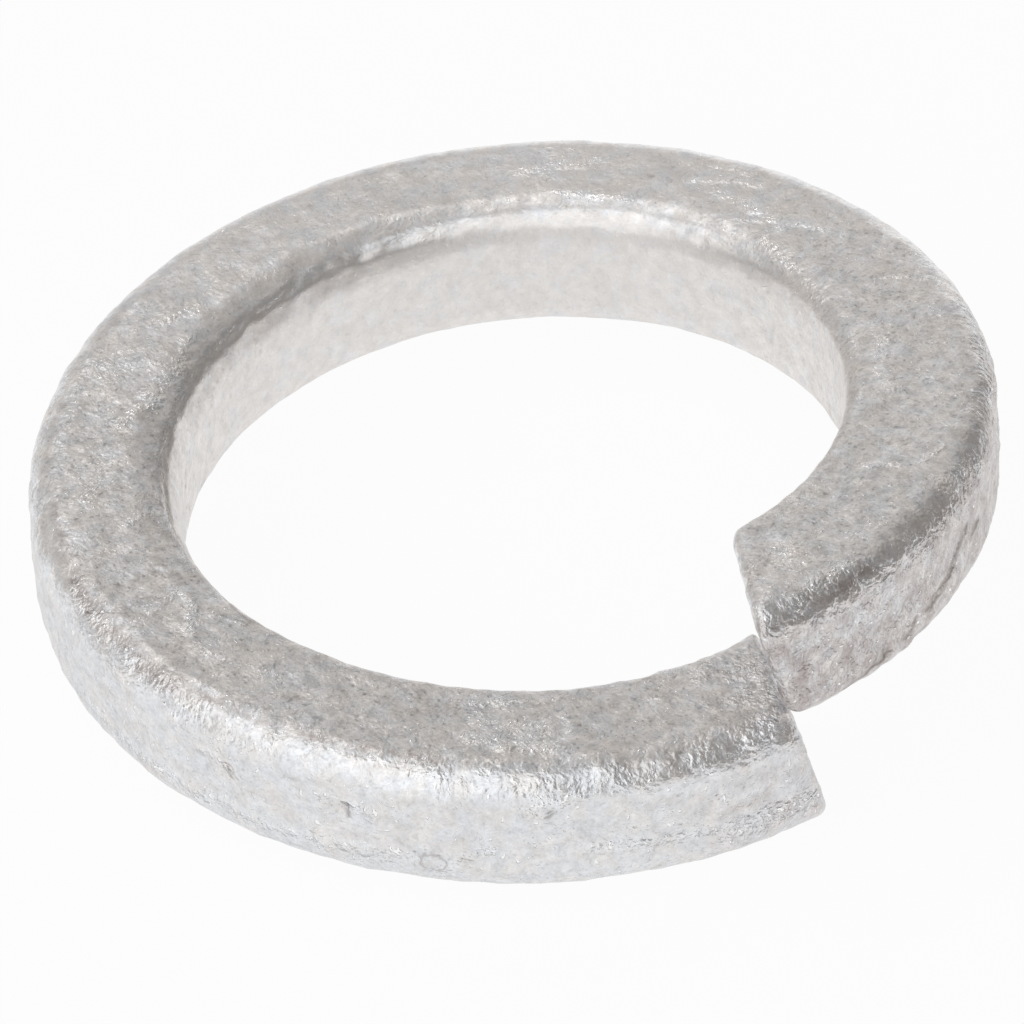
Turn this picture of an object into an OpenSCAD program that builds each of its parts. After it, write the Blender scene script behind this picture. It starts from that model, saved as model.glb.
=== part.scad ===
// Split spring lock washer, one turn of square wire with both ends cut at a slant.
// The Z axis is the axis of the bolt and the origin lies on it at half the coil's height.
// The coil climbs clockwise seen from above, so its ends bite when a right-hand nut is
// turned loose. The gap between the cut ends lies on +X.

/* [Bolt hole] */
// Diameter of the bore, clear of an M20 bolt
bore_d = 20.5; // [12:0.1:40]

/* [Wire] */
// Width of the wire, from the bore to the outside
wire_w = 4.6; // [3:0.1:8]
// Height of the wire along the axis
wire_h = 4.5; // [3:0.1:8]
// Slope of the bearing faces in degrees, rising outwards
face_slope = 2; // [0:0.5:6]
// Rounding of the upper inner edge
upper_inner_r = 0.6; // [0.4:0.05:1.4]
// Rounding of the upper outer edge
upper_outer_r = 1.1; // [0.4:0.05:1.4]
// Rounding of the two lower edges
lower_r = 1; // [0.4:0.05:1.4]

/* [Coil] */
// Rise of the coil in one full turn
coil_rise = 4.2; // [3:0.1:8]

/* [Cut ends] */
// Turn of the cut from the radius in degrees, seen from above
cut_slant = 28; // [0:1:35]
// Lean of the cut from the axis in degrees
cut_lean = 16; // [0:1:25]
// Clearance between the two cut faces, along the coil
cut_gap = 0.1; // [0.1:0.1:6]
// Rounding of the edges of the cut faces
cut_edge_r = 0.3; // [0.1:0.05:0.35]

/* [Fineness] */
// Number of steps along the coil
coil_steps = 96; // [48:12:120]
// Number of steps in the rounding of a lengthwise edge
edge_steps = 4; // [3:1:6]

/* [Hidden] */

// Radii of the bore, of the wire's middle line and of the outside
bore_r = bore_d / 2;
mean_r = bore_r + wire_w / 2;
outer_r = bore_r + wire_w;

// Degrees of turn that the middle line spans. The rise opens a leaning cut by its lean, and
// the coil closes up again until the two faces pass each other at the clearance.
coil_span = 360 * (2 * PI * mean_r - cut_gap) / (2 * PI * mean_r - tan(cut_lean) * coil_rise);
coil_height = wire_h + wire_w * tan(face_slope) + coil_rise * coil_span / 360;

// The coil's walls stand this far proud of the true round walls that trim them
wall_spare = 0.03;
// Steps in the rounding of the edges of a cut face
cut_edge_steps = 3;
// Sides of the trimming cylinders
wall_sides = 180;

// Corners of the wire's section: side in radius, side in height, rounding. They run
// anticlockwise from the upper outer one, each with an arc of a quarter turn.
corners = [
    [1, 1, upper_outer_r],
    [-1, 1, upper_inner_r],
    [-1, -1, lower_r],
    [1, -1, lower_r]
];

// One point of the section, as radius and height, on the given corner at the given angle
function section_point(corner, angle, inset) =
    let (
        spare = abs(cos(angle)) > 0.999 ? wall_spare : 0,
        x = corner[0] * (wire_w / 2 - corner[2]) + cos(angle) * (corner[2] - inset + spare),
        z = corner[1] * (wire_h / 2 - corner[2]) + sin(angle) * (corner[2] - inset)
    )
    [mean_r + x, z + x * tan(face_slope)];

// The whole section, drawn in by the inset
function section(inset) = [
    for (k = [0 : len(corners) - 1])
        for (step = [0 : edge_steps])
            section_point(corners[k], 90 * (k + step / edge_steps), inset)
];

// Degrees by which a point of the cut face lies along the coil from the middle of that face
function cut_turn(radius, height) =
    cut_slant + asin((height * tan(cut_lean) * cos(cut_slant) - mean_r * sin(cut_slant)) / radius);

// A point of the section carried along the coil to the given turn from its middle
function on_coil(point, turn) =
    let (angle = turn + cut_turn(point[0], point[1]))
    [
        -point[0] * cos(angle),
        point[0] * sin(angle),
        point[1] + coil_rise * angle / 360
    ];

// Places of the rings along the coil, as turn and inset. Those of the low end's rounded
// edge come first, then the even ones of the body, then those of the high end.
edge_turn = cut_edge_r / mean_r * 180 / PI;
low_edge = [
    for (step = [0 : cut_edge_steps])
        let (angle = 90 * step / cut_edge_steps)
        [-coil_span / 2 + edge_turn * (1 - cos(angle)), cut_edge_r * (1 - sin(angle))]
];
body_span = coil_span - 2 * edge_turn;
body = [for (step = [1 : coil_steps - 1]) [body_span * (step / coil_steps - 0.5), 0]];
high_edge = [for (step = [cut_edge_steps : -1 : 0]) [-low_edge[step][0], low_edge[step][1]]];
places = concat(low_edge, body, high_edge);

ring_size = len(corners) * (edge_steps + 1);
rings = len(places);

// All points of the coil, ring after ring, then the middles of the two cut faces
coil_points = concat(
    [for (place = places) for (point = section(place[1])) on_coil(point, place[0])],
    [on_coil([mean_r, 0], places[0][0]), on_coil([mean_r, 0], places[rings - 1][0])]
);

// Triangles between the rings, then a fan over each cut face
coil_faces = concat(
    [
        for (ring = [0 : rings - 2])
            for (k = [0 : ring_size - 1])
                let (
                    next = (k + 1) % ring_size,
                    a = ring * ring_size + k,
                    b = ring * ring_size + next,
                    c = a + ring_size,
                    d = b + ring_size
                )
                each [[a, b, d], [a, d, c]]
    ],
    [for (k = [0 : ring_size - 1]) [rings * ring_size, (k + 1) % ring_size, k]],
    [
        for (k = [0 : ring_size - 1])
            let (first = (rings - 1) * ring_size)
            [rings * ring_size + 1, first + k, first + (k + 1) % ring_size]
    ]
);

// The wire wound into its one turn, from cut face to cut face
module coiled_wire() {
    polyhedron(points = coil_points, faces = coil_faces, convexity = 4);
}

// The washer: the coil with its outer wall and its bore trimmed to true cylinders
module spring_washer() {
    color("silver")
    difference() {
        intersection() {
            coiled_wire();
            cylinder(h = 2 * coil_height, r = outer_r, center = true, $fn = wall_sides);
        }
        cylinder(h = 3 * coil_height, r = bore_r, center = true, $fn = wall_sides);
    }
}

spring_washer();
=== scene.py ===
import math

import bpy
from mathutils import Matrix, Vector


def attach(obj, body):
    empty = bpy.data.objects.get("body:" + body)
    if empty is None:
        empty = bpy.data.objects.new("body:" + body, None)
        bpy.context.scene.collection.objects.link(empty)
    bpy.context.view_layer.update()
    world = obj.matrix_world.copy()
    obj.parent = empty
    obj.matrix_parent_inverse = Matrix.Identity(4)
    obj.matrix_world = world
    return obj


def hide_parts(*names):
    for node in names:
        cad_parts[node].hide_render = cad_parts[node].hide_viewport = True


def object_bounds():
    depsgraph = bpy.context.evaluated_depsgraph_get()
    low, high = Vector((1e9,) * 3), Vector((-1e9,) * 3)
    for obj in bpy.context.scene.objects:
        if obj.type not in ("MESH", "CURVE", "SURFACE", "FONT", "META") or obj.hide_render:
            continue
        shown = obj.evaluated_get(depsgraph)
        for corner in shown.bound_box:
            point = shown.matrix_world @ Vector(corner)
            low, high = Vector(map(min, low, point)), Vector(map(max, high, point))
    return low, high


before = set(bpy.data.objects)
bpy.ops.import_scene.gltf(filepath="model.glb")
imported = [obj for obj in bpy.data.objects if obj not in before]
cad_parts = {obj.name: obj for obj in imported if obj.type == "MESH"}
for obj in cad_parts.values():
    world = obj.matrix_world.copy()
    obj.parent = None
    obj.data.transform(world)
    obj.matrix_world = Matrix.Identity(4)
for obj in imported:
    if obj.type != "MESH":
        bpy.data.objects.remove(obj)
cadBox = [list(corner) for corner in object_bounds()]
print("frame loaded")


# Node helpers: a Field is one output socket, so that a sum of fields is written as a sum

class Field:
    def __init__(self, tree, socket):
        self.tree = tree
        self.socket = socket

    def __add__(self, other):
        return calc(self.tree, "ADD", self, other)

    def __sub__(self, other):
        return calc(self.tree, "SUBTRACT", self, other)

    def __rsub__(self, other):
        return calc(self.tree, "SUBTRACT", other, self)

    def __mul__(self, other):
        return calc(self.tree, "MULTIPLY", self, other)

    def __truediv__(self, other):
        return calc(self.tree, "DIVIDE", self, other)

    __radd__ = __add__
    __rmul__ = __mul__


def feed(tree, socket, value):
    if isinstance(value, Field):
        tree.links.new(value.socket, socket)
    elif isinstance(value, bpy.types.NodeSocket):
        tree.links.new(value, socket)
    else:
        socket.default_value = value


def addNode(tree, kind, inputs=None, **settings):
    node = tree.nodes.new(kind)
    for name, value in settings.items():
        setattr(node, name, value)
    for name, value in (inputs or {}).items():
        feed(tree, node.inputs[name], value)
    return node


def calc(tree, operation, *values):
    node = addNode(tree, "ShaderNodeMath", operation=operation)
    for socket, value in zip(node.inputs, values):
        feed(tree, socket, value)
    return Field(tree, node.outputs[0])


def remap(tree, value, low, high, newLow=0.0, newHigh=1.0, smooth=False):
    kind = "SMOOTHSTEP" if smooth else "LINEAR"
    inputs = {"Value": value, "From Min": low, "From Max": high, "To Min": newLow, "To Max": newHigh}
    node = addNode(tree, "ShaderNodeMapRange", inputs, interpolation_type=kind)
    return Field(tree, node.outputs["Result"])


def vector(tree, x, y, z):
    node = addNode(tree, "ShaderNodeCombineXYZ", {"X": x, "Y": y, "Z": z})
    return Field(tree, node.outputs[0])


def parts(tree, source):
    node = addNode(tree, "ShaderNodeSeparateXYZ", {"Vector": source})
    return [Field(tree, socket) for socket in node.outputs]


def vectorCalc(tree, operation, *values):
    node = addNode(tree, "ShaderNodeVectorMath", operation=operation)
    for socket, value in zip(node.inputs, values):
        feed(tree, socket, value)
    return Field(tree, node.outputs[0])


def scaled(tree, source, amount):
    node = addNode(tree, "ShaderNodeVectorMath", {"Vector": source, "Scale": amount}, operation="SCALE")
    return Field(tree, node.outputs[0])


def seededNoise(tree, place, seed, scale, detail, roughness=0.5, output="Fac"):
    inputs = {"Vector": place, "W": seed, "Scale": scale, "Detail": detail, "Roughness": roughness}
    node = addNode(tree, "ShaderNodeTexNoise", inputs, noise_dimensions="4D")
    return Field(tree, node.outputs[output])


def plainNoise(tree, place, scale, detail=0.0, roughness=0.5):
    inputs = {"Vector": place, "Scale": scale, "Detail": detail, "Roughness": roughness}
    node = addNode(tree, "ShaderNodeTexNoise", inputs, noise_dimensions="3D")
    return Field(tree, node.outputs["Fac"])


def swirled(tree, place, scale, amount, seed):
    # a place pushed about by noise, so that what is drawn there comes out uneven
    cloud = seededNoise(tree, place, seed, scale, 2.0, output="Color")
    push = vectorCalc(tree, "SUBTRACT", cloud, (0.5, 0.5, 0.5))
    return vectorCalc(tree, "ADD", place, scaled(tree, push, amount))


def stepped(tree, degrees, turns):
    # from 0 to 1 between two turns of the coil
    return remap(tree, degrees, *turns, smooth=True)


def farFrom(tree, degrees, turns):
    # from 0 to 1 between two distances from a turn of the coil
    middle, near, far = turns
    return remap(tree, calc(tree, "ABSOLUTE", degrees - middle), near, far, smooth=True)


# The washer's wire, in millimetres and degrees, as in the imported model, but for the wider rounding
# of the raised cut's edge; the last six are its coat of zinc

wireSizes = {
    "Bore diameter": 20.5,
    "Wire width": 4.6,
    "Wire height": 4.5,
    "Face slope": 2.0,
    "Upper inner rounding": 0.6,
    "Upper outer rounding": 1.1,
    "Lower rounding": 1.0,
    "Coil rise": 4.2,
    "Cut slant": 28.0,
    "Cut lean": 16.0,
    "Cut clearance": 0.1,
    "Low cut edge rounding": 0.3,
    "Raised cut edge rounding": 0.5,
    "Zinc seed": 4.0,
    "Zinc waves": 0.04,
    "Zinc lumps": 0.08,
    "Zinc crumbs": 0.034,
    "Edge dimples": 0.03,
    "Inner edge wear": 0.36,
}

middleRadius = (wireSizes["Bore diameter"] + wireSizes["Wire width"]) / 2

# Marks in the zinc. A place is given in degrees along the coil, from its middle, and in millimetres
# around the section, from the middle of the underside: the outer wall runs from 2.9 to 5.3, the top
# face from 7.0 to 9.9 and the wall of the bore from 10.8 to 13.7.
zincMarks = {
    # turn, around, radius, height
    "lumps": [
        (-138.2, 8.35, 0.22, 0.050),
        (-139.8, 8.80, 0.19, 0.046),
        (-142.0, 8.72, 0.19, 0.050),
        (-144.5, 8.52, 0.21, 0.052),
        (-139.5, 7.77, 0.20, 0.050),
        (-141.2, 7.40, 0.17, 0.044),
        (-143.2, 7.67, 0.19, 0.046),
        (-145.4, 7.97, 0.18, 0.046),
        (-2.2, 8.15, 0.13, 0.030),
        (-8.0, 7.87, 0.10, 0.020),
        (-11.8, 11.78, 0.12, 0.035),
        (-15.2, 13.00, 0.22, 0.035),
        (84.8, 13.20, 0.12, 0.030),
        (8.8, 7.55, 0.16, 0.030),
        (127.8, 9.90, 0.16, 0.020),
        (-143.2, 5.12, 0.22, 0.030),
        (-144.8, 5.35, 0.24, 0.036),
        (-146.4, 5.55, 0.24, 0.036),
        (-148.2, 5.80, 0.20, 0.030),
        (-106.6, 5.05, 0.22, 0.030),
        (-121.9, 5.00, 0.25, 0.030),
    ],
    "pits": [
        (-106.8, 4.72, 0.20, -0.080),
        (-122.1, 4.67, 0.22, -0.080),
        (-145.6, 5.12, 0.18, -0.045),
        (-78.5, 7.60, 0.15, -0.030),
        (-78.0, 8.85, 0.16, -0.035),
        (-80.5, 9.90, 0.15, -0.030),
        (-43.2, 12.13, 0.13, -0.050),
        (-44.2, 12.55, 0.14, -0.050),
        (-45.0, 13.23, 0.14, -0.050),
        (10.2, 7.45, 0.15, -0.035),
        (59.5, 8.17, 0.20, -0.040),
        (147.0, 8.65, 0.17, -0.040),
        (102.0, 7.50, 0.15, -0.035),
        (131.0, 9.05, 0.16, -0.030),
        (-12.4, 11.74, 0.12, -0.030),
    ],
    "blisters": [
        (-131.5, 3.10, 0.46, 0.045),
    ],
    # from turn, around, to turn, around, radius, height
    "cracks": [
        (-89.5, 10.20, -95.5, 9.95, 0.16, -0.030),
        (148.2, 4.17, 150.8, 3.87, 0.17, -0.030),
        (151.8, 4.55, 156.0, 3.87, 0.15, -0.030),
        (156.2, 3.77, 162.8, 3.24, 0.17, -0.035),
        (170.5, 2.92, 176.8, 2.32, 0.18, -0.035),
    ],
    # from turn, around, to turn, around, radius: strings and fields of small grains and painted glints
    "grains": [
        (-135.2, 9.57, -148.8, 9.67, 0.25),
        (-149.0, 8.12, -148.8, 9.20, 0.25),
        (-136.5, 7.80, -145.5, 7.40, 0.60),
        (-137.0, 8.70, -146.0, 8.30, 0.70),
        (-176.0, 8.90, -184.0, 8.40, 1.10),
        (-172.0, 7.80, -174.5, 8.10, 0.40),
        (-174.5, 10.00, -170.0, 9.20, 0.35),
        (-174.0, 7.60, -182.0, 7.40, 0.60),
        (-84.8, 7.85, -83.2, 9.07, 0.30),
        (-83.2, 9.07, -87.5, 9.10, 0.25),
        (-87.5, 9.07, -92.0, 8.27, 0.25),
        (-90.2, 9.30, -95.5, 9.70, 0.16),
        (-17.0, 8.65, -21.0, 8.10, 0.45),
        (-22.0, 9.30, -28.0, 9.60, 0.30),
        (-27.8, 9.70, -36.8, 9.20, 0.55),
        (-36.8, 9.55, -44.0, 8.60, 0.40),
        (-75.8, 6.30, -97.0, 6.20, 0.55),
        (66.5, 7.12, 71.5, 7.07, 0.22),
        (68.0, 7.87, 75.5, 7.35, 0.26),
        (77.5, 9.22, 90.0, 7.95, 0.18),
        (65.0, 8.05, 67.0, 7.90, 0.25),
        (104.0, 8.25, 108.8, 6.55, 0.16),
        (119.5, 9.05, 124.5, 9.25, 0.45),
        (128.0, 9.40, 133.0, 9.10, 0.50),
        (134.0, 9.95, 137.0, 10.10, 0.22),
        (146.0, 7.05, 150.5, 7.40, 0.18),
        (151.5, 7.80, 153.5, 8.90, 0.14),
        (-133.8, 3.12, -138.5, 3.67, 0.22),
        (-80.0, 3.10, -118.0, 3.05, 0.30),
        (-118.0, 3.10, -128.0, 3.20, 0.50),
        (-103.0, 4.90, -108.0, 4.60, 0.30),
        (-119.0, 4.95, -125.0, 4.70, 0.35),
        (-143.0, 5.10, -149.0, 5.60, 0.30),
        (-166.0, 3.20, -180.0, 3.20, 0.55),
        (40.0, 8.10, 52.0, 7.60, 0.45),
        (46.0, 9.30, 58.0, 9.40, 0.40),
        (70.0, 8.30, 84.0, 8.70, 0.45),
        (84.0, 9.60, 104.0, 10.40, 0.45),
        (-56.0, 8.10, -60.0, 7.70, 0.35),
        (-64.0, 9.50, -66.0, 8.80, 0.30),
        (-150.0, 3.60, -176.0, 3.30, 0.35),
        (174.0, 6.60, 182.0, 6.40, 0.50),
    ],
    # from turn, around, to turn, around, radius: darker stains
    "stains": [
        (-75.0, 6.40, -98.0, 6.30, 0.50),
        (-60.0, 6.70, -75.0, 6.60, 0.25),
        (-98.0, 6.60, -112.0, 6.65, 0.22),
        (-112.0, 6.75, -135.0, 6.80, 0.16),
        (172.0, 6.20, 181.0, 6.10, 0.40),
    ],
}

# millimetres between the points of a crack and of a field of grains or stain
markSteps = {"crack": 0.06, "field": 0.1}

meshSteps = {"along": 556, "around": 160, "cutFace": 16, "cutEdge": 6, "corner": 24}


def markCloud(name, rows):
    # one point for each mark, in the flat map of the washer's surface
    mesh = bpy.data.meshes.new(name)
    mesh.from_pydata([(math.radians(row[0]) * middleRadius, row[1], 0) for row in rows], [], [])
    for column, title in enumerate(("radius", "height", "ring"), start=2):
        values = mesh.attributes.new(title, "FLOAT", "POINT")
        values.data.foreach_set("value", [row[column] for row in rows])
    cloud = bpy.data.objects.new(name, mesh)
    bpy.context.scene.collection.objects.link(cloud)
    return cloud


def alongLine(line, step):
    # points along a short line on the washer, a step of millimetres apart
    turn, around, lastTurn, lastAround = line[:4]
    length = math.hypot(math.radians(lastTurn - turn) * middleRadius, lastAround - around)
    count = max(1, math.ceil(length / step))
    for k in range(count + 1):
        part = k / count
        yield turn + part * (lastTurn - turn), around + part * (lastAround - around)


def shapeMarks():
    rows = [mark + (0.0,) for mark in zincMarks["lumps"] + zincMarks["pits"]]
    rows += [mark + (1.0,) for mark in zincMarks["blisters"]]
    for crack in zincMarks["cracks"]:
        places = alongLine(crack, markSteps["crack"])
        rows += [(turn, around, crack[4], crack[5], 0.0) for turn, around in places]
    return markCloud("shapeMarks", rows)


def fieldMarks(kind):
    rows = []
    for field in zincMarks[kind]:
        places = alongLine(field, markSteps["field"])
        rows += [(turn, around, field[4], 0.0, 0.0) for turn, around in places]
    return markCloud(kind + "Marks", rows)


def captured(tree, geometry, kind, name, value):
    # keeps a value so that it can be read again on what is made from this geometry
    node = addNode(tree, "GeometryNodeCaptureAttribute", {"Geometry": geometry}, domain="POINT")
    node.capture_items.new(kind, name)
    feed(tree, node.inputs[name], value)
    return node.outputs["Geometry"], Field(tree, node.outputs[name])


def sectionCurve(tree, size):
    # the rounded square section, drawn from the top of the outer wall over the top face
    square = addNode(tree, "GeometryNodeCurvePrimitiveQuadrilateral", mode="RECTANGLE")
    feed(tree, square.inputs["Width"], size["Wire width"])
    feed(tree, square.inputs["Height"], size["Wire height"])
    index = addNode(tree, "GeometryNodeInputIndex").outputs[0]
    isOuter = calc(tree, "COMPARE", index, 0.0, 0.5)
    isInner = calc(tree, "COMPARE", index, 1.0, 0.5)
    lower = size["Lower rounding"]
    outer = size["Upper outer rounding"]
    radius = lower + isOuter * (outer - lower)
    radius = radius + isInner * (size["Upper inner rounding"] - lower)
    fillet = addNode(tree, "GeometryNodeFilletCurve", {"Curve": square.outputs[0]}, mode="POLY")
    feed(tree, fillet.inputs["Count"], meshSteps["corner"])
    feed(tree, fillet.inputs["Radius"], radius)
    even = addNode(tree, "GeometryNodeResampleCurve", {"Curve": fillet.outputs[0]}, mode="COUNT")
    even.inputs["Count"].default_value = meshSteps["around"]

    # the way round is counted from the middle of the underside
    position = addNode(tree, "GeometryNodeInputPosition").outputs[0]
    tangent = addNode(tree, "GeometryNodeInputTangent").outputs[0]
    length = Field(tree, addNode(tree, "GeometryNodeSplineParameter").outputs["Length"])
    perimeter = addNode(tree, "GeometryNodeCurveLength", {"Curve": even.outputs[0]}).outputs[0]
    toStart = size["Wire width"] / 2 - lower + lower * (math.pi / 2) + size["Wire height"] - lower - outer
    around = calc(tree, "MODULO", length + toStart, perimeter)
    curve, place = captured(tree, even.outputs[0], "VECTOR", "place", position)
    curve, tangent = captured(tree, curve, "VECTOR", "tangent", tangent)
    curve, around = captured(tree, curve, "FLOAT", "around", around)
    return curve, place, tangent, around


# The profile of a blister, in shares of its radius and of its height: a low plateau in a groove
blister = {"plateau": (0.6, 0.8), "plateauHeight": 0.5, "groove": 0.85, "grooveReach": 0.22}


def nearestMark(tree, cloud, place):
    # the height of the mark nearest to a place, and how much of it reaches there
    points = addNode(tree, "GeometryNodeObjectInfo", {"Object": cloud}).outputs["Geometry"]
    nearest = addNode(tree, "GeometryNodeSampleNearest", {"Geometry": points, "Sample Position": place})

    def sampled(kind, value):
        inputs = {"Geometry": points, "Value": value, "Index": nearest.outputs[0]}
        return Field(tree, addNode(tree, "GeometryNodeSampleIndex", inputs, data_type=kind).outputs[0])

    def named(title):
        node = addNode(tree, "GeometryNodeInputNamedAttribute", {"Name": title}, data_type="FLOAT")
        return node.outputs[0]

    centre = sampled("FLOAT_VECTOR", addNode(tree, "GeometryNodeInputPosition").outputs[0])
    gap = addNode(tree, "ShaderNodeVectorMath", {0: centre, 1: place}, operation="DISTANCE")
    part = Field(tree, gap.outputs["Value"]) / sampled("FLOAT", named("radius"))
    ring = sampled("FLOAT", named("ring"))
    dome = remap(tree, part, 0.0, 1.0, 1.0, 0.0, smooth=True)
    fromGroove = calc(tree, "ABSOLUTE", part - blister["groove"])
    groove = remap(tree, fromGroove, 0.0, blister["grooveReach"], 1.0, 0.0, smooth=True)
    plateau = remap(tree, part, *blister["plateau"], blister["plateauHeight"], 0.0, smooth=True)
    share = dome * (1 - ring) + (plateau - groove) * ring
    return sampled("FLOAT", named("height")), share


# Where the zinc changes along the coil, in degrees from its middle: between two turns, or, where
# there are three numbers, between two distances from the first turn
zincTurns = {
    "rightWall": (100.0, 135.0),
    "rightRounding": (105.0, 140.0),
    "lessWear": (0.0, 40.0),
    "nearCuts": (0.0, 152.0, 176.0),
    "calmBack": (30.0, 30.0, 85.0),
    "wornEdge": (5.0, 75.0, 120.0),
    # the painted sheen on the top face, and the painted highlight on the upper outer rounding, strongest
    # at the back
    "topSheen": (95.0, 50.0, 75.0),
    "sheenBack": (60.0, 35.0, 75.0),
}

# How strong the small relief is on each face; the last two are added to the others
zincRelief = {"topFace": 0.7, "boreWall": 0.45, "outerWall": 1.6, "rightWall": 2.0, "nearCuts": 0.5}

# The worn upper inner edge, in millimetres around the section: the middle of its rounding, how far
# the wear reaches from there, and how much less it reaches at the back
wornEdge = {"middle": 10.37, "reach": 1.35, "lessReach": 0.3}

# The pale folds in the raised end's wall, in millimetres along the coil and around the section
foldPlace = {"along": (34.9, 36.5), "around": (3.3, 4.6)}

crumbScale = 2.6  # crumbs to a millimetre, the same in the mesh and in the material

# The noises of the relief: spots to a millimetre, detail and roughness
meshNoises = {"waves": (0.33, 1.0), "lumps": (0.9, 1.5), "patches": (0.7, 3.0, 0.6)}

# How places are pushed about: swirls to a millimetre, how far they push in millimetres, seed
swirls = {
    "zinc": (0.8, 0.5, 1.0),
    "dimples": (1.5, 0.25, 3.0),
    "shapeMarks": (2.5, 0.18, 5.0),
    "fieldMarks": (1.6, 0.5, 7.0),
}

# The dimples of the roundings: cells to a millimetre, their smoothness, the middle of their depth
dimpleCells = {"scale": 1.8, "smoothness": 0.5, "middle": 0.45}


def zincRegions(tree, where):
    # shares from 0 to 1 of each region of the washer
    tangentX, tangentY = parts(tree, where["tangent"])[:2]
    degrees = calc(tree, "DEGREES", where["turn"])
    onWall = tangentY * tangentY
    return {
        "onWall": onWall,
        "onTop": tangentX * tangentX * where["isUpper"],
        "onRounding": calc(tree, "ABSOLUTE", tangentX * tangentY) * 2 * where["isUpper"],
        "onRightWall": stepped(tree, degrees, zincTurns["rightWall"]) * where["isOuter"] * onWall,
        "isRight": stepped(tree, degrees, zincTurns["rightRounding"]),
        "isLessWorn": stepped(tree, degrees, zincTurns["lessWear"]),
        "isNearCuts": farFrom(tree, degrees, zincTurns["nearCuts"]),
        "isCalm": 1 - farFrom(tree, degrees, zincTurns["calmBack"]),
        "isWorn": 1 - farFrom(tree, degrees, zincTurns["wornEdge"]),
        "isTopSheen": 1 - farFrom(tree, degrees, zincTurns["topSheen"]),
        "isSheenBack": 1 - farFrom(tree, degrees, zincTurns["sheenBack"]),
    }


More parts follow.
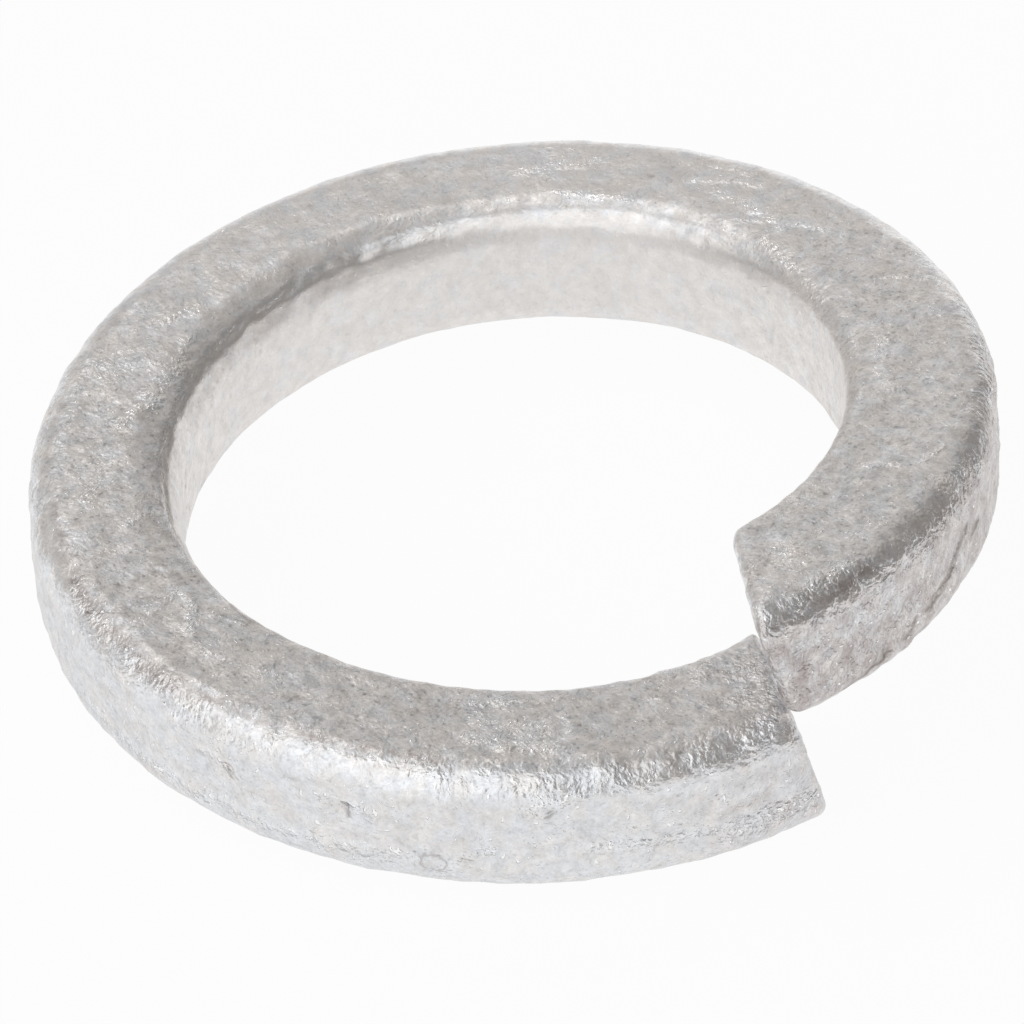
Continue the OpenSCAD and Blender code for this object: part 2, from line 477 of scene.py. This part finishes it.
def zincCoat(tree, mesh, size, marks, where):
    # moves the surface along its normals by the zinc's waves, lumps, crumbs, dimples, wear and marks
    position = addNode(tree, "GeometryNodeInputPosition").outputs[0]
    normal = addNode(tree, "GeometryNodeInputNormal").outputs[0]
    seed = size["Zinc seed"]
    region = zincRegions(tree, where)
    isOuter = where["isOuter"]
    onWall, onRounding, onRightWall = region["onWall"], region["onRounding"], region["onRightWall"]

    waves = seededNoise(tree, position, seed, *meshNoises["waves"]) * 2 - 1
    lumps = seededNoise(tree, position, seed, *meshNoises["lumps"]) * 2 - 1
    swirledPlace = swirled(tree, position, *swirls["zinc"])
    mesh, place = captured(tree, mesh, "VECTOR", "swirled", swirledPlace)
    crumbs = plainNoise(tree, place, crumbScale) - 0.5
    uneven = swirled(tree, position, *swirls["dimples"])
    cellInputs = {"Vector": uneven, "Scale": dimpleCells["scale"]}
    cells = addNode(tree, "ShaderNodeTexVoronoi", cellInputs, feature="SMOOTH_F1")
    cells.inputs["Smoothness"].default_value = dimpleCells["smoothness"]
    dimples = Field(tree, cells.outputs["Distance"]) - dimpleCells["middle"]
    dimples = dimples * onRounding * (1.8 - isOuter)
    unevenFlat = swirled(tree, where["flat"], *swirls["shapeMarks"])
    height, share = nearestMark(tree, marks["Shape marks"], unevenFlat)
    wavyFlat = swirled(tree, where["flat"], *swirls["fieldMarks"])
    grainShare = nearestMark(tree, marks["Grain marks"], wavyFlat)[1]
    stainShare = nearestMark(tree, marks["Stain marks"], wavyFlat)[1]

    # how rough the zinc is: most on the outer wall's right-hand end, least on the calm back
    wallRelief = zincRelief["boreWall"] + isOuter * (zincRelief["outerWall"] - zincRelief["boreWall"])
    wallRelief = wallRelief + onRightWall * zincRelief["rightWall"]
    crisp = 1 - region["isCalm"] * 0.5
    rightRounding = region["isRight"] * onRounding
    relief = (zincRelief["topFace"] + onWall * (wallRelief - zincRelief["topFace"])) * crisp
    relief = relief * (1 - rightRounding * 0.25)
    relief = relief + region["isNearCuts"] * zincRelief["nearCuts"] * (1 - rightRounding)
    lumpShare = 0.4 + calc(tree, "MINIMUM", relief, 1.2) * 0.7

    # the upper inner edge is worn rounder, most at the left
    lessWorn = region["isLessWorn"]
    fromEdge = calc(tree, "ABSOLUTE", parts(tree, where["flat"])[1] - wornEdge["middle"])
    wearReach = wornEdge["reach"] - lessWorn * wornEdge["lessReach"]
    wear = remap(tree, fromEdge, 0.0, wearReach, 1.0, 0.0, smooth=True)
    wear = wear * region["isWorn"] * (1 - lessWorn * 0.4) * (0.9 + lumps * 0.5)

    thickness = waves * size["Zinc waves"] + lumps * size["Zinc lumps"] * lumpShare
    thickness = thickness + crumbs * relief * size["Zinc crumbs"] + dimples * size["Edge dimples"]
    thickness = thickness + height * share - wear * size["Inner edge wear"]
    offset = scaled(tree, normal, thickness)
    coated = addNode(tree, "GeometryNodeSetPosition", {"Geometry": mesh, "Offset": offset}).outputs[0]

    # what the material reads: places pushed about by noise, shares of each kind of mark, and of painted
    # highlight, sheen, glints, shade and reflection tint
    patchSeed = 9.0
    patches = remap(tree, seededNoise(tree, position, patchSeed, *meshNoises["patches"]), 0.48, 0.72)
    isPit = calc(tree, "LESS_THAN", height, 0.0)
    wavyAlong, wavyAround = parts(tree, wavyFlat)[:2]
    folds = stepped(tree, wavyAlong, foldPlace["along"]) * onRightWall
    folds = folds * stepped(tree, wavyAround, foldPlace["around"])
    folds = folds * remap(tree, lumps, -0.35, 0.3, 0.25, 1.0)
    # painted highlight: the upper outer rounding paler, most at the back and not at the right-hand end
    edgeSheen = onRounding * isOuter * (0.45 + region["isSheenBack"] * 0.55) * (1 - region["isRight"])
    # painted sheen: the top face paler at the back right and near the cuts
    topSheen = region["onTop"] * (region["isTopSheen"] * 0.3 + region["isNearCuts"] * 0.3)
    # stains, and painted shade: the outer wall's right-hand end darkened where it mirrors shade, and the
    # walls near the cuts darker
    stained = onRightWall * 0.85 + stainShare + region["isNearCuts"] * onWall * 0.4 - folds * 0.6
    kept = {
        "flat": ("FLOAT_VECTOR", wavyFlat),
        "swirled": ("FLOAT_VECTOR", place),
        "pitted": ("FLOAT", isPit * share),
        "stained": ("FLOAT", stained),
        # where grains gather and glints are painted
        "grainy": ("FLOAT", (grainShare + patches * (0.45 + onRounding * 0.5)) * (1 - onWall * 0.5)),
        "edged": ("FLOAT", onRounding),
        "relief": ("FLOAT", relief),
        "mottled": ("FLOAT", crisp * (0.8 + (1 - onWall) * where["isUpper"] * 0.9)),
        # painted reflection tint: the bore's wall and the outer wall's right-hand end warmer, the rest of
        # the outer wall cooler, for the light they mirror; the folds cooler
        "warmed": ("FLOAT", onWall * (0.5 - isOuter * 0.78) + onRightWall * 0.55 - folds * 0.5),
        # paler colour: the painted highlight and sheen, and the pale folds
        "pale": ("FLOAT", edgeSheen + topSheen + folds * 0.3),
    }
    for title, (kind, value) in kept.items():
        inputs = {"Geometry": coated, "Name": title, "Value": value}
        coated = addNode(tree, "GeometryNodeStoreNamedAttribute", inputs, data_type=kind).outputs[0]
    return coated


markKinds = ("Shape marks", "Grain marks", "Stain marks")


def coilTree():
    tree = bpy.data.node_groups.new("Wound square wire", "GeometryNodeTree")
    tree.interface.new_socket("Geometry", in_out="INPUT", socket_type="NodeSocketGeometry")
    for name, value in wireSizes.items():
        socket = tree.interface.new_socket(name, in_out="INPUT", socket_type="NodeSocketFloat")
        socket.default_value = value
    for name in markKinds:
        tree.interface.new_socket(name, in_out="INPUT", socket_type="NodeSocketObject")
    tree.interface.new_socket("Geometry", in_out="OUTPUT", socket_type="NodeSocketGeometry")
    groupInput = addNode(tree, "NodeGroupInput")
    groupOutput = addNode(tree, "NodeGroupOutput")
    size = {name: Field(tree, groupInput.outputs[name]) for name in wireSizes}
    marks = {name: groupInput.outputs[name] for name in markKinds}

    # a straight path with one point for each ring of the coil, and the section along it
    ringCount = meshSteps["along"] + 2 * (meshSteps["cutFace"] + meshSteps["cutEdge"])
    line = addNode(tree, "GeometryNodeCurvePrimitiveLine")
    path = addNode(tree, "GeometryNodeResampleCurve", {"Curve": line.outputs[0]}, mode="COUNT")
    path.inputs["Count"].default_value = ringCount
    ringNumber = addNode(tree, "GeometryNodeSplineParameter").outputs["Index"]
    pathCurve, ring = captured(tree, path.outputs[0], "FLOAT", "ring", ringNumber)
    section, place, tangent, around = sectionCurve(tree, size)
    tube = addNode(tree, "GeometryNodeCurveToMesh", {"Curve": pathCurve, "Profile Curve": section})

    # rings counted from the nearer end: first those of the cut face, then those of its edge
    fromEnd = calc(tree, "MINIMUM", ring, ringCount - 1 - ring)
    faceRings = meshSteps["cutFace"]
    bodyStart = faceRings + meshSteps["cutEdge"]
    facePart = remap(tree, fromEnd, 0.0, faceRings)
    edgeAngle = remap(tree, fromEnd, faceRings, bodyStart, 0.0, math.pi / 2)
    bodyPart = remap(tree, ring, bodyStart, ringCount - 1 - bodyStart, -1.0, 1.0)
    endSide = calc(tree, "SIGN", ring - (ringCount - 1) / 2)

    # the turn of each ring along the coil, in radians
    meanRadius = size["Bore diameter"] / 2 + size["Wire width"] / 2
    middleLine = meanRadius * (2 * math.pi)
    slant = calc(tree, "RADIANS", size["Cut slant"])
    leanSlope = calc(tree, "TANGENT", calc(tree, "RADIANS", size["Cut lean"]))
    closedUp = middleLine - leanSlope * size["Coil rise"]
    halfSpan = (middleLine - size["Cut clearance"]) / closedUp * math.pi
    lowEdge = size["Low cut edge rounding"]
    isRaised = remap(tree, endSide, -1.0, 1.0)
    edge = lowEdge + isRaised * (size["Raised cut edge rounding"] - lowEdge)
    edgeTurn = edge / meanRadius
    turn = bodyPart * (halfSpan - edgeTurn) + endSide * edgeTurn * calc(tree, "COSINE", edgeAngle)

    # the point of the section, drawn in at the cut's edge and towards the middle of its face
    inset = edge * (1 - calc(tree, "SINE", edgeAngle))
    across, up = parts(tree, place)[:2]
    tangentX, tangentY = parts(tree, tangent)[:2]
    across = (across - tangentY * inset) * facePart
    up = (up + tangentX * inset) * facePart
    up = up + across * calc(tree, "TANGENT", calc(tree, "RADIANS", size["Face slope"]))
    radius = meanRadius + across

    # every ring stands parallel to the slanting, leaning cut
    cutOffset = up * leanSlope * calc(tree, "COSINE", slant) - meanRadius * calc(tree, "SINE", slant)
    angle = turn + slant + calc(tree, "ARCSINE", cutOffset / radius)
    height = up + size["Coil rise"] * angle / (2 * math.pi)
    x = 0 - radius * calc(tree, "COSINE", angle)
    y = radius * calc(tree, "SINE", angle)
    along = angle * meanRadius
    mesh, flat = captured(tree, tube.outputs[0], "VECTOR", "flat", vector(tree, along, around, 0.0))
    mesh, isUpper = captured(tree, mesh, "FLOAT", "upper", remap(tree, up, -1.0, 1.0))
    mesh, isOuter = captured(tree, mesh, "FLOAT", "outer", remap(tree, across, -1.0, 1.0))
    mesh, angle = captured(tree, mesh, "FLOAT", "turn", angle)
    coilPlace = vector(tree, x, y, height)
    wound = addNode(tree, "GeometryNodeSetPosition", {"Geometry": mesh, "Position": coilPlace})
    ends = {"Geometry": wound.outputs[0], "Distance": 0.001}
    closed = addNode(tree, "GeometryNodeMergeByDistance", ends)
    smooth = addNode(tree, "GeometryNodeSetShadeSmooth", {"Geometry": closed.outputs[0]})
    where = {"flat": flat, "tangent": tangent, "isUpper": isUpper, "isOuter": isOuter, "turn": angle}
    coated = zincCoat(tree, smooth.outputs[0], size, marks, where)

    inMetres = addNode(tree, "GeometryNodeTransform", {"Geometry": coated, "Scale": (0.001,) * 3})
    real = addNode(tree, "GeometryNodeRealizeInstances", {"Geometry": inMetres.outputs[0]})
    dressed = addNode(tree, "GeometryNodeSetMaterial", {"Geometry": real.outputs[0]})
    feed(tree, groupOutput.inputs[0], dressed.outputs[0])
    return tree, dressed


def bakedMesh(name, tree, values):
    # the tree's result as a plain mesh on an object of its own, with the modifier gone
    maker = bpy.data.objects.new(name + "Maker", bpy.data.meshes.new(name + "Maker"))
    bpy.context.scene.collection.objects.link(maker)
    modifier = maker.modifiers.new("Coil", "NODES")
    modifier.node_group = tree
    for socket in tree.interface.items_tree:
        if socket.in_out == "INPUT" and socket.name in values:
            modifier[socket.identifier] = values[socket.name]
    graph = bpy.context.evaluated_depsgraph_get()
    mesh = bpy.data.meshes.new_from_object(maker.evaluated_get(graph), depsgraph=graph)
    mesh.name = name
    bpy.data.objects.remove(maker)
    piece = bpy.data.objects.new(name, mesh)
    bpy.context.scene.collection.objects.link(piece)
    return piece


# Hot-dip zinc: heights of its relief in millimetres, scales in spots to a millimetre

zincLook = {
    "warm": (0.80, 0.77, 0.747, 1),
    "cool": (0.773, 0.782, 0.803, 1),
    # the colour of painted glints on the grains and in the grain fields
    "bright": (0.93, 0.93, 0.93, 1),
    # the colour of stains and of painted shade
    "stainAndShade": (0.52, 0.47, 0.46, 1),
    # the colour of dirt in pits and cracks, and of a painted shadow line
    "dirtAndShade": (0.30, 0.26, 0.24, 1),
    "rough": 0.47,
    "smooth": 0.33,
    "crumbHeight": 0.029,
    "strokeHeight": 0.026,
    "grainHeight": 0.019,
    "grainsFrom": 0.73,
    "fieldGrainsFrom": 0.57,
    "strokeScale": 3.3,
    "grainScale": 6.5,
    "tintScale": 1.3,
    "speckleScale": 2.2,
    "dustScale": 12.0,
    "stainScale": 1.7,
    "glintPatchScale": 2.6,
}

# Dark cracks, and a painted shadow line under the low end's outer wall: from turn, around, to turn,
# around, half the width, darkness, radius of a ring or 0
cracksAndShadowLine = [
    (148.2, 4.17, 150.8, 3.87, 0.16, 0.9, 0.0),
    (151.8, 4.55, 156.0, 3.87, 0.16, 0.9, 0.0),
    (156.2, 3.77, 159.2, 3.54, 0.18, 1.1, 0.0),
    (158.8, 3.39, 162.8, 3.24, 0.17, 1.0, 0.0),
    (165.0, 3.32, 167.0, 2.94, 0.16, 0.9, 0.0),
    (170.5, 2.92, 173.5, 2.72, 0.18, 1.1, 0.0),
    (173.5, 2.72, 176.8, 2.32, 0.18, 1.1, 0.0),
    (166.8, 4.12, 168.8, 3.67, 0.08, 0.5, 0.0),
    (-106.8, 4.75, -106.9, 4.45, 0.10, 0.8, 0.0),
    (-122.1, 4.70, -121.9, 4.35, 0.10, 0.7, 0.0),
    (-145.6, 5.12, -144.6, 4.95, 0.08, 0.7, 0.0),
    (-131.5, 3.10, -131.5, 3.11, 0.07, 0.46, 0.33),
    (131.0, 8.90, 131.6, 9.45, 0.05, 0.7, 0.0),
    # painted shadow: a dark line along the bottom of the low end's outer wall
    (-168.0, 2.95, -178.5, 2.95, 0.05, 0.6, 0.0),
]


def shaderMix(tree, share, first, second):
    node = addNode(tree, "ShaderNodeMix", data_type="RGBA")
    feed(tree, node.inputs["Factor"], share)
    feed(tree, node.inputs[6], first)
    feed(tree, node.inputs[7], second)
    return Field(tree, node.outputs[2])


def attribute(tree, name, output="Fac"):
    return Field(tree, addNode(tree, "ShaderNodeAttribute", attribute_name=name).outputs[output])


def crackAndShadowShare(tree, place, cracks):
    # how dark a place in the flat map is from the short straight cracks, the ring and the painted shadow
    # line
    total = 0
    for turn, around, lastTurn, lastAround, width, darkness, ring in cracks:
        start = Vector((math.radians(turn) * middleRadius, around, 0))
        step = Vector((math.radians(lastTurn) * middleRadius, lastAround, 0)) - start
        fromStart = vectorCalc(tree, "SUBTRACT", place, tuple(start))
        along = {0: fromStart, 1: tuple(step / step.length_squared)}
        dot = addNode(tree, "ShaderNodeVectorMath", along, operation="DOT_PRODUCT")
        part = remap(tree, Field(tree, dot.outputs["Value"]), 0.0, 1.0)
        offLine = vectorCalc(tree, "SUBTRACT", fromStart, scaled(tree, tuple(step), part))
        length = addNode(tree, "ShaderNodeVectorMath", {0: offLine}, operation="LENGTH").outputs["Value"]
        offRing = calc(tree, "ABSOLUTE", calc(tree, "SUBTRACT", length, ring))
        total = calc(tree, "MAXIMUM", total, remap(tree, offRing, 0.0, width, darkness, 0.0))
    return total


def zincMaterial():
    material = bpy.data.materials.new("Hot-dip zinc")
    material.use_nodes = True
    tree = material.node_tree
    shader = tree.nodes["Principled BSDF"]
    place = attribute(tree, "swirled", "Vector")
    flat = attribute(tree, "flat", "Vector")
    grainy = attribute(tree, "grainy")
    pitted = attribute(tree, "pitted")
    edged = attribute(tree, "edged")
    stained = attribute(tree, "stained")
    relief = attribute(tree, "relief")
    mottled = attribute(tree, "mottled")
    warmed = attribute(tree, "warmed")
    pale = attribute(tree, "pale")

    # relief: crumbs over all small scales, winding strokes, and grains that catch the light
    crumbs = plainNoise(tree, place, crumbScale * 2, 2.0, 0.55) * zincLook["crumbHeight"]
    winding = plainNoise(tree, place, zincLook["strokeScale"], 1.0) - 0.5
    strokes = calc(tree, "ABSOLUTE", winding) * zincLook["strokeHeight"]
    peaks = plainNoise(tree, place, zincLook["grainScale"])
    threshold = zincLook["grainsFrom"] + grainy * (zincLook["fieldGrainsFrom"] - zincLook["grainsFrom"])
    grains = remap(tree, peaks, threshold, threshold + 0.11, smooth=True)
    grains = grains * calc(tree, "MINIMUM", relief, 1.0)
    height = (crumbs + strokes * (1 + edged * 0.5)) * (1 + grainy * 3.2) * relief
    height = height + grains * (1 - edged * 0.6) * zincLook["grainHeight"]
    bump = addNode(tree, "ShaderNodeBump", {"Strength": 1.0, "Distance": 0.001})
    feed(tree, bump.inputs["Height"], height)
    feed(tree, shader.inputs["Normal"], bump.outputs[0])

    # colour: warm and cool patches with a painted reflection tint, a fine speckle, painted highlight and
    # sheen, stains with painted shade, bright grains and patches as painted glints, and dirt in the pits
    # with a painted shadow line
    # warm and cool patches, with the walls' painted reflection tint added
    warmth = remap(tree, plainNoise(tree, place, zincLook["tintScale"], 4.0, 0.65), 0.38, 0.62) + warmed
    color = shaderMix(tree, warmth, zincLook["cool"], zincLook["warm"])
    speckle = plainNoise(tree, place, zincLook["speckleScale"], 5.0, 0.78)
    dust = plainNoise(tree, place, zincLook["dustScale"], 2.0, 0.7)
    troughs = remap(tree, peaks, 0.32, 0.24) * 0.14
    uneven = (speckle - 0.52) * 0.85 + (dust - 0.52) * 0.32 - troughs
    # lighter colour: painted highlight and sheen on the roundings and top, painted glints in the grain
    # fields, and the pale folds
    color = scaled(tree, color, 1 + uneven * mottled + grainy * 0.09 + pale * 0.21)
    # stains, and painted shade on the right-hand end of the outer wall
    stainAndShade = stained * remap(tree, plainNoise(tree, place, zincLook["stainScale"], 4.0, 0.7), 0.34, 0.66)
    color = shaderMix(tree, stainAndShade, color, zincLook["stainAndShade"])
    # painted glints: bright grains, and bright patches in the grain fields
    glintPatches = remap(tree, plainNoise(tree, place, zincLook["glintPatchScale"], 2.0, 0.6), 0.55, 0.66)
    brightness = calc(tree, "MAXIMUM", grains, glintPatches * grainy * 0.8)
    color = shaderMix(tree, brightness, color, zincLook["bright"])
    unevenFlat = vectorCalc(tree, "ADD", flat, scaled(tree, vector(tree, speckle, peaks, 0.0), 0.15))
    # dirt in the pits and cracks, and the painted shadow line
    dirtAndShade = pitted * remap(tree, speckle, 0.3, 0.7, 0.2, 0.9)
    dirtAndShade = calc(tree, "MAXIMUM", dirtAndShade, crackAndShadowShare(tree, unevenFlat, cracksAndShadowLine))
    color = shaderMix(tree, dirtAndShade, color, zincLook["dirtAndShade"])
    feed(tree, shader.inputs["Base Color"], color)

    roughness = remap(tree, speckle, 0.3, 0.7, zincLook["rough"], zincLook["smooth"])
    feed(tree, shader.inputs["Roughness"], roughness - grains * 0.25 - grainy * 0.06)
    shader.inputs["Metallic"].default_value = 1.0
    return material


zinc = zincMaterial()
tree, materialNode = coilTree()
materialNode.inputs["Material"].default_value = zinc
clouds = dict(zip(markKinds, (shapeMarks(), fieldMarks("grains"), fieldMarks("stains"))))
washer = bakedMesh("springWasher", tree, {**wireSizes, **clouds})
for cloud in clouds.values():
    bpy.data.objects.remove(cloud)
print("washer wound:", len(washer.data.vertices), "vertices,", len(washer.data.polygons), "faces")

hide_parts("spring_washer")
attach(washer, "root")


# Floor, backdrop, world, lamps and camera: lengths in metres, brightness as a share of white

studio = {
    "floorSize": 3.0,
    "floorGap": 0.00005,
    "worldLevel": 0.29,
    "worldColor": (1.0, 0.965, 0.93, 1),
    "paperColor": (0.92, 0.92, 0.92, 1),
    "seenWhite": 0.94,
    "mirroredWhite": 0.95,
    # azimuth of the low white card behind the washer, its distance, its width and height in metres
    "backdrop": (222, 0.55, 0.5, 0.16),
}

# azimuth and elevation of each lamp, its distance, its width and height in metres, its level, colour
lamps = {
    "keyBox": (20, 42, 0.5, 0.9, 0.9, 0.89, (0.95, 0.975, 1.0)),
    "backCard": (262, 40, 0.6, 1.5, 1.1, 0.27, (1.0, 0.965, 0.93)),
    "glintLamp": (254, 56, 0.5, 0.1, 0.06, 4.4, (0.98, 0.99, 1.0)),
}


def paperSheet(name, corners, paper):
    # a flat sheet of the studio, which isn't part of the washer
    mesh = bpy.data.meshes.new(name)
    mesh.from_pydata(corners, [], [(0, 1, 2, 3)])
    mesh.materials.append(paper)
    sheet = bpy.data.objects.new(name, mesh)
    bpy.context.scene.collection.objects.link(sheet)


def paperMaterial():
    # white to the camera and in the metal, plain paper to all other light
    material = bpy.data.materials.new("White paper")
    material.use_nodes = True
    tree = material.node_tree
    tree.nodes.clear()
    rays = addNode(tree, "ShaderNodeLightPath")
    mirrored = calc(tree, "MAXIMUM", rays.outputs["Is Glossy Ray"], rays.outputs["Is Transmission Ray"])
    seen = calc(tree, "MULTIPLY", rays.outputs["Is Camera Ray"], studio["seenWhite"])
    white = calc(tree, "MAXIMUM", seen, mirrored * studio["mirroredWhite"])
    paper = addNode(tree, "ShaderNodeBsdfDiffuse", {"Color": studio["paperColor"]})
    shine = addNode(tree, "ShaderNodeEmission", {"Color": (1, 1, 1, 1), "Strength": 1.0})
    mix = addNode(tree, "ShaderNodeMixShader", {0: white, 1: paper.outputs[0], 2: shine.outputs[0]})
    output = addNode(tree, "ShaderNodeOutputMaterial")
    feed(tree, output.inputs["Surface"], mix.outputs[0])
    return material


def heading(azimuth, elevation):
    # the direction from the washer to a place, as the camera's own azimuth and elevation are given
    turn, lift = math.radians(azimuth), math.radians(elevation)
    return Vector((math.sin(turn) * math.cos(lift), -math.cos(turn) * math.cos(lift), math.sin(lift)))


paper = paperMaterial()
floorHeight = cadBox[0][2] - studio["floorGap"]
half = studio["floorSize"] / 2
floorCorners = [(-half, -half), (half, -half), (half, half), (-half, half)]
paperSheet("floor", [(x, y, floorHeight) for x, y in floorCorners], paper)

azimuth, distance, width, height = studio["backdrop"]
away = heading(azimuth, 0)
beside = Vector((-away.y, away.x, 0)) * width / 2
bottom = away * distance + Vector((0, 0, floorHeight))
top = bottom + Vector((0, 0, height))
paperSheet("backdrop", [bottom - beside, bottom + beside, top + beside, top - beside], paper)

# the world is white to the camera and a grey room to the metal
world = bpy.data.worlds.new("Studio")
bpy.context.scene.world = world
world.use_nodes = True
worldTree = world.node_tree
worldTree.nodes.clear()
rays = addNode(worldTree, "ShaderNodeLightPath")
worldLight = {"Color": studio["worldColor"], "Strength": studio["worldLevel"]}
grey = addNode(worldTree, "ShaderNodeBackground", worldLight)
white = addNode(worldTree, "ShaderNodeBackground", {"Color": (1, 1, 1, 1), "Strength": 1.0})
worldMix = {0: rays.outputs["Is Camera Ray"], 1: grey.outputs[0], 2: white.outputs[0]}
mix = addNode(worldTree, "ShaderNodeMixShader", worldMix)
feed(worldTree, addNode(worldTree, "ShaderNodeOutputWorld").inputs["Surface"], mix.outputs[0])

# The camera's place, in degrees and millimetres: right and down is where it sees the origin
cameraPlace = {
    "azimuth": 53.967,
    "elevation": 38.168,
    "roll": 3.852,
    "distance": 215.703,
    "right": 0.04,
    "down": -0.902,
    "lens": 247.2,
}


def lookAxes(azimuth, elevation, roll):
    # the camera's own right, down and forward
    tilt = math.radians(roll)
    forward = -heading(azimuth, elevation)
    right = forward.cross(Vector((0, 0, 1))).normalized()
    down = forward.cross(right)
    return (
        right * math.cos(tilt) + down * math.sin(tilt),
        down * math.cos(tilt) - right * math.sin(tilt),
        forward,
    )


right, down, forward = lookAxes(cameraPlace["azimuth"], cameraPlace["elevation"], cameraPlace["roll"])


def addLamp(name, azimuth, elevation, distance, width, height, level, color):
    # an area lamp that shines at the washer; a level of 1 is the brightness of a white wall
    direction = heading(azimuth, elevation)
    light = bpy.data.lights.new(name, "AREA")
    light.shape = "RECTANGLE"
    light.size = width
    light.size_y = height
    light.energy = level * math.pi * width * height
    light.color = color
    lamp = bpy.data.objects.new(name, light)
    lamp.location = direction * distance
    lamp.rotation_euler = direction.to_track_quat("Z", "Y").to_euler()
    bpy.context.scene.collection.objects.link(lamp)


for lampName, values in lamps.items():
    addLamp(lampName, *values)
print("floor and lamps placed")

cameraData = bpy.data.cameras.new("camera")
cameraData.lens = cameraPlace["lens"]
cameraData.sensor_width = 36
cameraData.clip_start = 0.01
cameraData.clip_end = 10
camera = bpy.data.objects.new("camera", cameraData)
toWasher = right * cameraPlace["right"] + down * cameraPlace["down"] + forward * cameraPlace["distance"]
centre = -toWasher / 1000
turned = Matrix((right, -down, -forward)).transposed().to_4x4()
camera.matrix_world = Matrix.Translation(centre) @ turned
bpy.context.scene.collection.objects.link(camera)
bpy.context.scene.camera = camera
bpy.context.scene.view_settings.view_transform = "Standard"
print("camera placed")
